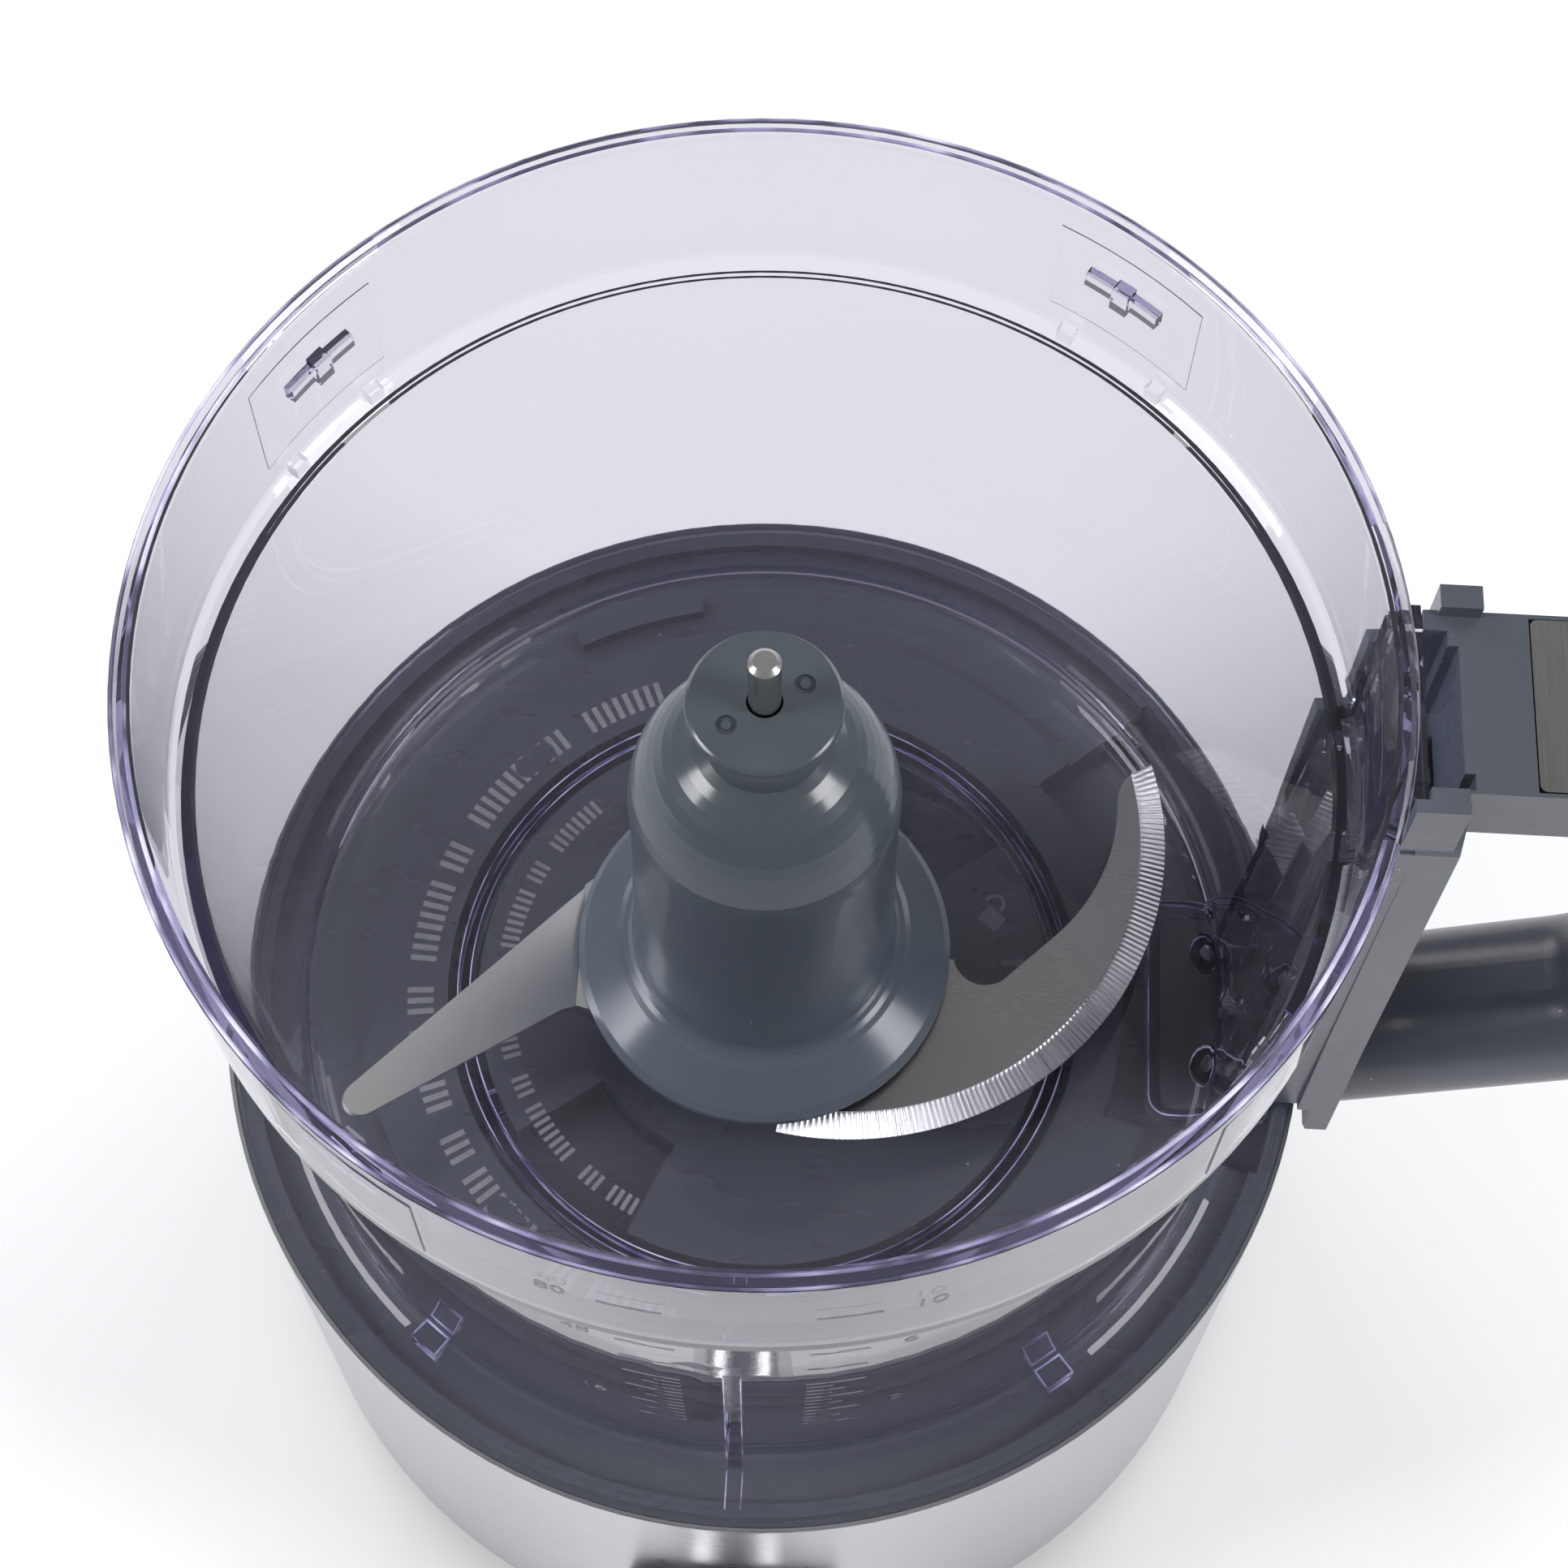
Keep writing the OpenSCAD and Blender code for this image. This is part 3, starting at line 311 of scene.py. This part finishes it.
satin = {"lines": straight(60.0, 5200.0, 60.0), "streak": 0.015, "relief": 0.0, "vary": 0.006}
finishes = {
    "clear_plastic": clear_plastic(),
    "grey_plastic": moulded("grey_plastic", srgb(66, 70, 72), 0.27, 0.15, 0.6, handle=srgb(74, 79, 87)),
    "dark_plastic": moulded("dark_plastic", srgb(38, 41, 44), 0.5, 0.5),
    "hub_plastic": moulded("hub_plastic", srgb(70, 77, 83), 0.17, 0.02, 0.4, 0.03),
    "white_plastic": moulded("white_plastic", srgb(226, 226, 221), 0.42, 0.2),
    "rubber": moulded("rubber", srgb(38, 38, 39), 0.72, 0.8, 0.3),
    "band_steel": brushed("band_steel", (0.46, 0.466, 0.486, 1), 0.3, round_z, aniso=0.65),
    "inlay_steel": brushed("inlay_steel", (0.27, 0.265, 0.26, 1), 0.32, along_y, streak=0.18),
    "blade_steel": brushed("blade_steel", (0.72, 0.71, 0.705, 1), 0.25, **satin),
    "knob_metal": brushed("knob_metal", (0.7, 0.7, 0.71, 1), 0.24, round_knob, streak=0.14),
    "bright_steel": brushed("bright_steel", (0.68, 0.67, 0.66, 1), 0.2, round_z, aniso=0.5),
    "spring_steel": brushed("spring_steel", (0.5, 0.5, 0.51, 1), 0.3, round_z),
    "lamination": brushed("lamination", (0.28, 0.28, 0.29, 1), 0.45, straight(60.0, 60.0, 4000.0), streak=0.45),
    "bracket_alloy": brushed("bracket_alloy", (0.6, 0.61, 0.62, 1), 0.42, straight(900.0, 900.0, 900.0), streak=0.2),
    "copper": brushed("copper", (0.66, 0.3, 0.12, 1), 0.3, lambda t: round_z(t, 2600.0), streak=0.5),
    "bronze": brushed("bronze", (0.5, 0.34, 0.16, 1), 0.4, straight(1500.0, 1500.0, 1500.0), streak=0.3),
    "board": board(),
}
for part in frame["record"]["subparts"]:
    materials = nodes[part["node"]].data.materials
    materials.clear()
    materials.append(finishes[part["material_slot"]])


# ---- geometry tools ----

def mesh_piece(name, verts, faces, materials, body, indices=None, smooth=False):
    """Adds a mesh given in millimetres, which rides on a body."""
    mesh = bpy.data.meshes.new(name)
    mesh.from_pydata([(x * MM, y * MM, z * MM) for x, y, z in verts], [], faces)
    for material in materials:
        mesh.materials.append(material)
    if indices:
        mesh.polygons.foreach_set("material_index", indices)
    if smooth:
        mesh.polygons.foreach_set("use_smooth", [True] * len(mesh.polygons))
    mesh.update()
    ob = bpy.data.objects.new(name, mesh)
    bpy.context.scene.collection.objects.link(ob)
    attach(ob, body)
    return ob


def point(centre, r, degrees):
    a = math.radians(degrees)
    return (centre[0] + r * math.cos(a), centre[1] + r * math.sin(a))


def about_z(r, degrees, z):
    return (*point((0, 0), r, degrees), z)


def arc(centre, r, a0, a1, n):
    """n + 1 points on an arc, between two angles in degrees."""
    return [point(centre, r, a0 + (a1 - a0) * i / n) for i in range(n + 1)]


def level_arc(r, z, a0, a1, n):
    """An arc about the Z axis at one height."""
    return [about_z(r, a0 + (a1 - a0) * i / n, z) for i in range(n + 1)]


def along(points, n):
    """n + 1 points spread evenly along a broken line."""
    lengths = [math.dist(a, b) for a, b in zip(points, points[1:])]
    spread, i, before = [], 0, 0.0
    for k in range(n + 1):
        s = sum(lengths) * k / n
        while i < len(lengths) - 1 and s > before + lengths[i]:
            before += lengths[i]
            i += 1
        f = min(1.0, (s - before) / lengths[i])
        spread.append(tuple(u + (v - u) * f for u, v in zip(points[i], points[i + 1])))
    return spread


class Wires:
    """Collects thin round wires along paths, which carry painted highlights along rounded edges."""

    SIDES = 6

    def __init__(self):
        self.verts, self.faces = [], []

    def add(self, path, r):
        points = [Vector(p) for p in path]
        start, last, n = len(self.verts), len(points) - 1, self.SIDES
        for i, p in enumerate(points):
            ahead = (points[min(i + 1, last)] - points[max(i - 1, 0)]).normalized()
            side = ahead.cross(Vector((0, 0, 1)))
            side = side.normalized() if side.length > 0.01 else Vector((1, 0, 0))
            other = ahead.cross(side)
            for k in range(n):
                a = math.tau * k / n
                self.verts.append(tuple(p + r * (math.cos(a) * side + math.sin(a) * other)))
        for i in range(last):
            a, b = start + i * n, start + (i + 1) * n
            for k in range(n):
                j = (k + 1) % n
                self.faces.append((a + k, a + j, b + j, b + k))
        self.faces.append(tuple(start + k for k in reversed(range(n))))
        self.faces.append(tuple(start + last * n + k for k in range(n)))


def text_shape(text, size):
    """Filled outline of generic digits, centred, in millimetres."""
    curve = bpy.data.curves.new("digits", "FONT")
    curve.body, curve.size, curve.align_x, curve.align_y = text, size, "CENTER", "CENTER"
    carrier = bpy.data.objects.new("digits", curve)
    bpy.context.scene.collection.objects.link(carrier)
    bpy.context.view_layer.update()
    mesh = bpy.data.meshes.new_from_object(carrier.evaluated_get(bpy.context.evaluated_depsgraph_get()))
    verts = [tuple(v.co[:2]) for v in mesh.vertices]
    faces = [tuple(p.vertices) for p in mesh.polygons]
    bpy.data.objects.remove(carrier)
    bpy.data.meshes.remove(mesh)
    bpy.data.curves.remove(curve)
    return verts, faces


class Marks:
    """Collects flat marks into one thin mesh. place maps a mark's x and y to a point on a surface."""

    def __init__(self):
        self.verts, self.faces = [], []

    def add(self, verts, faces, place):
        start = len(self.verts)
        self.verts += [place(*v) for v in verts]
        self.faces += [tuple(start + i for i in f) for f in faces]

    def bar(self, x0, x1, y0, y1, place, cuts=1):
        xs = [x0 + (x1 - x0) * i / cuts for i in range(cuts + 1)]
        self.add([(x, y) for x in xs for y in (y0, y1)],
                 [(2 * i, 2 * i + 2, 2 * i + 3, 2 * i + 1) for i in range(cuts)], place)

    def text(self, text, size, place):
        self.add(*text_shape(text, size), place)

    def piece(self, name, material, body, slot):
        mesh_piece(name, self.verts, self.faces, [material], body)


# ---- pieces that the CAD leaves plain ----

BEVEL_CENTRE = (14, 26)     # of the lower blade's outer arc


def lower_blade():
    """Crescent blade with a ground bevel, scalloped into fine teeth, along its outer arc."""
    edge_r, bevel_r = 61.2, 56.4
    bottom, top, lip = 137.75, 139.55, 0.42
    tooth_depth, per_tooth = 0.26, 6    # six columns of vertices to a tooth, and one tooth to a degree
    tip_from, tip_reach = 0.9, 1.6      # the edge leads by up to 1.6 degrees over its last tenth
    clamped_r = (22.02, 30.95)
    root = arc((0, 0), 30.9, -80, 0, 24) + [(33.5, 0.5)]
    notch = arc((41.2, 1.4), 5.8, -171, -45, 20)
    back = arc((27.7, 33.65), 38.3, -46.5, 1.5, 40)
    tip = [(66.1, 36.3), (66.8, 38.1), (67.7, 39.5), (68.7, 40.4)]
    # each stretch of the inner outline faces a stretch of the bevel, in degrees round its centre
    stretches = ((root, -99.4, -60.0), (notch, -60.0, -42.0), ([notch[-1], back[0]], -42.0, -33.0),
                 (back, -33.0, 8.0), ([back[-1]] + tip, 8.0, 15.0))
    columns = []
    for points, a0, a1 in stretches:
        n = round((a1 - a0) * per_tooth)
        for k, inner in enumerate(along(points, n)):
            if k or not columns:
                columns.append((inner, a0 + (a1 - a0) * k / n))
    verts, last = [], len(columns) - 1
    for i, (inner, angle) in enumerate(columns):
        reach = tip_reach * max(0.0, (i / last - tip_from) / (1 - tip_from))
        dip = tooth_depth * (0.5 - 0.5 * math.cos(math.tau * i / per_tooth))
        edge = point(BEVEL_CENTRE, edge_r, angle + reach)
        verts += [(*inner, bottom), (*inner, top),
                  (*point(BEVEL_CENTRE, bevel_r, angle), top),
                  (*point(BEVEL_CENTRE, bevel_r + 0.5, angle), top - 0.12 - 0.7 * dip),
                  (*edge, bottom + lip - dip), (*edge, bottom)]
    flat, ground = 0, 1
    faces, kind = [tuple(range(6)), tuple(6 * last + j for j in reversed(range(6)))], [flat, flat]
    for i in range(last):
        for j in range(6):
            k = (j + 1) % 6
            faces.append((6 * i + k, 6 * i + j, 6 * i + 6 + j, 6 * i + 6 + k))
            kind.append(ground if j in (2, 3, 4) else flat)
    # ring that the hub's collar clamps
    start, m = len(verts), 72
    for r in clamped_r:
        for z in (bottom + 0.01, top - 0.01):
            verts += [(r * math.cos(math.tau * i / m), r * math.sin(math.tau * i / m), z) for i in range(m)]
    for a, b in ((0, 1), (1, 3), (3, 2), (2, 0)):
        for i in range(m):
            j = (i + 1) % m
            faces.append((start + a * m + i, start + b * m + i, start + b * m + j, start + a * m + j))
            kind.append(flat)
    # painted shade: the lower blade's flat gets a darker copy of the blade steel, for the shade it lies in
    painted_shade_flat = brushed("painted_shade_steel", (0.36, 0.35, 0.345, 1), 0.26, **satin)
    ob = mesh_piece("ground_lower_blade", verts, faces, [painted_shade_flat, ground_steel()], "blade", kind)
    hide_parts("lower_blade")


def painted_bowl_edge_highlights():
    """Thin wires with painted highlights along the rounded edges of the bowl's rim, locking ring, hooks, pocket,
    front rib and flange hooks.
    """
    w = Wires()
    thin, thick = 0.14, 0.2
    for r in (56.6, 58.9):              # locking ring
        w.add(level_arc(r, 114.8, -86.5, 263.0, 180), 0.18)
        w.add(level_arc(r, 121.2, -86.5, 263.0, 180), thin)
    for r in (96.6, 98.5):              # rim, open at the handle
        w.add(level_arc(r, 264.35, 16.0, 344.0, 200), 0.3)
    low, high, inner, outer = 114.7, 116.8, 52.6, 56.4
    for a in (26.5, 206.5):             # the ring's two hooks
        sides = (a - 2.5, a + 2.5)
        for z in (low, high):
            w.add(level_arc(inner, z, *sides, 4), thick)
            for side in sides:
                w.add([about_z(r, side, z) for r in (inner, outer)], thick)
        for side in sides:
            w.add([about_z(inner, side, z) for z in (low, high)], thick)
    for z, r in ((117.2, thick), (121.2, thin)):        # pocket under the floor
        loop = []
        for x, y, a0 in ((93, 18, 0), (77.6, 18, 90), (77.6, -18, 180), (93, -18, 270)):
            loop += [(u, v, z) for u, v in arc((x, y), 3.8, a0, a0 + 90, 5)]
        w.add(loop + loop[:1], r)
    for s in (-1, 1):
        w.add([(85.8 + x, s * 11.4 + y, 119.2) for x, y in arc((0, 0), 3.9, 0, 360, 28)], 0.16)    # screw boss
        w.add([(s * 1.4, -WALL_FOOT_R - 3.4 + 0.05, z) for z in range(131, 196, 5)], thin)          # front rib
        w.add([(s * 1.4, -r, 125.5) for r in (93.2, 96.0, 100.0)], thin)
    low, high, inner, outer = 124.4, 128.25, 90.2, 94.05
    for a in (-127.5, -52.5):           # hooks of the foot flange
        sides = (a - 1.7, a + 1.7)
        for z, r in ((high, outer), (high, inner), (low, outer)):
            w.add(level_arc(r, z, *sides, 4), 0.24)
        for side in sides:
            w.add([about_z(r, side, high) for r in (inner - 0.2, outer)], 0.24)
            w.add([about_z(outer, side, z) for z in (low - 0.1, high)], 0.24)
    # these wires are painted highlights that ride on the bowl
    mesh_piece("painted_bowl_edge_highlights", w.verts, w.faces, [painted_edge_highlight()], "bowl", smooth=True)


# ---- printed and moulded marks ----

def wall_place(azimuth, height):
    """Lays a mark on the outside of the bowl."""
    def place(x, y):
        z = height + y
        r = (WALL_FOOT_R + WALL_TAPER * (z - WALL_FOOT_Z) if z < LEDGE_Z else LID_BAND_R) + PRINT
        a = math.radians(azimuth) + x / r
        return (r * math.cos(a), r * math.sin(a), z)
    return place


def graduations():
    """Cup and ounce marks either side of the front rib."""
    marks = Marks()
    first, cup, top = 150.4, 11.5, 246
    cups_bar, ounces_bar = (1, -79.6), (-1, -98.2)      # side of the rib, and azimuth
    cups_digits, ounces_digits = -72.7, -105.1
    half, weight, fine = 4.8, 0.34, 0.26
    for i in range(7):
        z = first + cup * i
        for side, azimuth in (cups_bar, ounces_bar):
            marks.bar(-half, half, -weight, weight, wall_place(azimuth, z), 4)
            if i < 3:
                for share in (0.25, 0.5, 0.75):
                    reach = 3.2 if share == 0.5 else 2.2
                    marks.bar(-side * half, -side * (half - 2 * reach), -fine, fine,
                              wall_place(azimuth, z + share * cup), 3)
    for text, cups in (("2", 2), ("6", 6)):
        marks.text(text, 5.4, wall_place(cups_digits, first + cup * (cups - 1)))
    for text, cups in (("16", 2), ("48", 6)):
        marks.text(text, 5.0, wall_place(ounces_digits, first + cup * (cups - 1)))
    marks.text("10", 5.4, wall_place(cups_digits, top))
    marks.text("80", 5.0, wall_place(ounces_digits, top))
    for side, azimuth in (cups_bar, ounces_bar):
        marks.bar(-half, half, -weight, weight, wall_place(azimuth, top), 4)
    marks.piece("graduations", print_ink("etched_marks", srgb(128, 127, 137)), "bowl", "clear_plastic")


def deck_place(r, azimuth, turn=0.0):
    """Lays a mark flat on the base's deck. Its y points outwards, turned by turn degrees."""
    u = math.radians(azimuth - 90 + turn)
    ca, sa = math.cos(u), math.sin(u)
    ox, oy = point((0, 0), r, azimuth)
    return lambda x, y: (ox + ca * x - sa * y, oy + sa * x + ca * y, DECK_PRINT_Z)


def deck_marks():
    """Two rings of plain dashes, an open padlock and an arrow, printed on the base's deck."""
    dashes, icons = Marks(), Marks()
    for r, height, start, end, width in ((66.0, 5.0, 112, 262, 1.15), (50.0, 3.4, 135, 245, 0.85)):
        azimuth, i = start, 0
        while azimuth < end:
            if i % 14 not in (8, 9, 13):        # uneven gaps, as in a line of print
                dashes.bar(-width / 2, width / 2, -height / 2, height / 2, deck_place(r, azimuth))
            azimuth += math.degrees(1.9 * width / r)
            i += 1
    lock = deck_place(46.5, 20.5, 30)
    icons.bar(-2.2, 2.2, -2.0, 1.6, lock)
    shackle = [point((-1.6, 2.6), r, a) for a in range(-20, 201, 20) for r in (1.3, 2.1)]
    icons.add(shackle, [(2 * i, 2 * i + 1, 2 * i + 3, 2 * i + 2) for i in range(len(shackle) // 2 - 1)], lock)
    arrow = deck_place(48.5, 8.5, -8)
    icons.bar(-0.55, 0.55, -2.6, 0.4, arrow)
    icons.add([(-1.7, 0.4), (1.7, 0.4), (0, 2.8)], [(0, 1, 2)], arrow)
    dashes.piece("deck_dashes", print_ink("deck_print", srgb(136, 136, 128)), "base", "grey_plastic")
    icons.piece("deck_icons", print_ink("icon_print", srgb(104, 107, 108)), "base", "grey_plastic")


def dial_place(turn):
    """Lays a mark on the steel band beside the knob, turn degrees from its top."""
    ox, oz = point((0, KNOB_Z), 27.5, 90 - turn)
    return lambda x, y: (ox + x, -math.sqrt((STEEL_BAND_R + PRINT) ** 2 - (ox + x) ** 2), oz + y)


def knob_marks():
    """Digits on the band round the knob, and the knob's pointer line."""
    digits, line = Marks(), Marks()
    for text, turn in (("0", 0), ("1", 30), ("2", 60), ("3", -30)):
        digits.text(text, 5.2, dial_place(turn))
    line.bar(-0.5, 0.5, 5.2, 13.6, lambda x, y: (x, -STEEL_BAND_R - KNOB_DEPTH - PRINT, KNOB_Z + y))
    digits.piece("dial_digits", print_ink("dial_print", srgb(70, 74, 78)), "base", "band_steel")
    line.piece("pointer_line", print_ink("pointer_print", srgb(60, 64, 68)), "knob", "knob_metal")


lower_blade()
painted_bowl_edge_highlights()
graduations()
deck_marks()
knob_marks()


# ---- stage, light and camera ----

scene = bpy.context.scene


def floor(half):
    mesh = bpy.data.meshes.new("floor")
    mesh.from_pydata([(-half, -half, 0), (half, -half, 0), (half, half, 0), (-half, half, 0)], [], [(0, 1, 2, 3)])
    mesh.materials.append(Tree("floor").set(Base_Color=(0.97, 0.97, 0.975, 1), Roughness=0.8))
    ob = bpy.data.objects.new("floor", mesh)
    scene.collection.objects.link(ob)


def studio(colour, strength):
    scene.world = bpy.data.worlds.new("studio")
    scene.world.use_nodes = True
    background = scene.world.node_tree.nodes["Background"]
    background.inputs["Color"].default_value = colour
    background.inputs["Strength"].default_value = strength


def softbox(name, at, size, watts):
    """A rectangular lamp, turned to the middle of the object."""
    data = bpy.data.lights.new(name, "AREA")
    data.shape = "RECTANGLE"
    data.size, data.size_y = size
    data.energy = watts
    lamp = bpy.data.objects.new(name, data)
    lamp.location = at
    lamp.rotation_euler = (Vector((0, 0, 0.15)) - Vector(at)).to_track_quat("-Z", "Y").to_euler()
    scene.collection.objects.link(lamp)


def camera(at, yaw, pitch, roll, lens, shift_y):
    """Looks down by pitch and to the left of +Y by yaw, in degrees, then rolls."""
    data = bpy.data.cameras.new("camera")
    data.sensor_width = 36
    data.lens = lens
    data.shift_y = shift_y
    yaw, pitch, roll = (math.radians(a) for a in (yaw, pitch, roll))
    look = Vector((-math.sin(yaw) * math.cos(pitch), math.cos(yaw) * math.cos(pitch), -math.sin(pitch)))
    level = Vector((math.cos(yaw), math.sin(yaw), 0))
    right = math.cos(roll) * level + math.sin(roll) * level.cross(look)
    stand = Matrix((right, right.cross(look), -look)).transposed().to_4x4()
    stand.translation = Vector(at)
    scene.camera = bpy.data.objects.new("camera", data)
    scene.camera.matrix_world = stand
    scene.collection.objects.link(scene.camera)


floor(6.0)
studio((0.95, 0.97, 1.0, 1), 0.3)
softbox("left_softbox", (-1.15, -0.28, 0.96), (0.5, 0.7), 14)
softbox("right_softbox", (1.15, -0.28, 0.96), (0.5, 0.7), 13)
softbox("back_left_softbox", (-0.95, 1.15, 1.0), (0.8, 1.0), 8)
softbox("back_right_softbox", (0.95, 1.15, 1.0), (0.8, 1.0), 8)
camera((0.01176, -0.2125, 0.68066), 2.396, 62.53, 0.76, lens=70.86, shift_y=-0.1)
scene.view_settings.view_transform = "Standard"
scene.view_settings.look = "None"
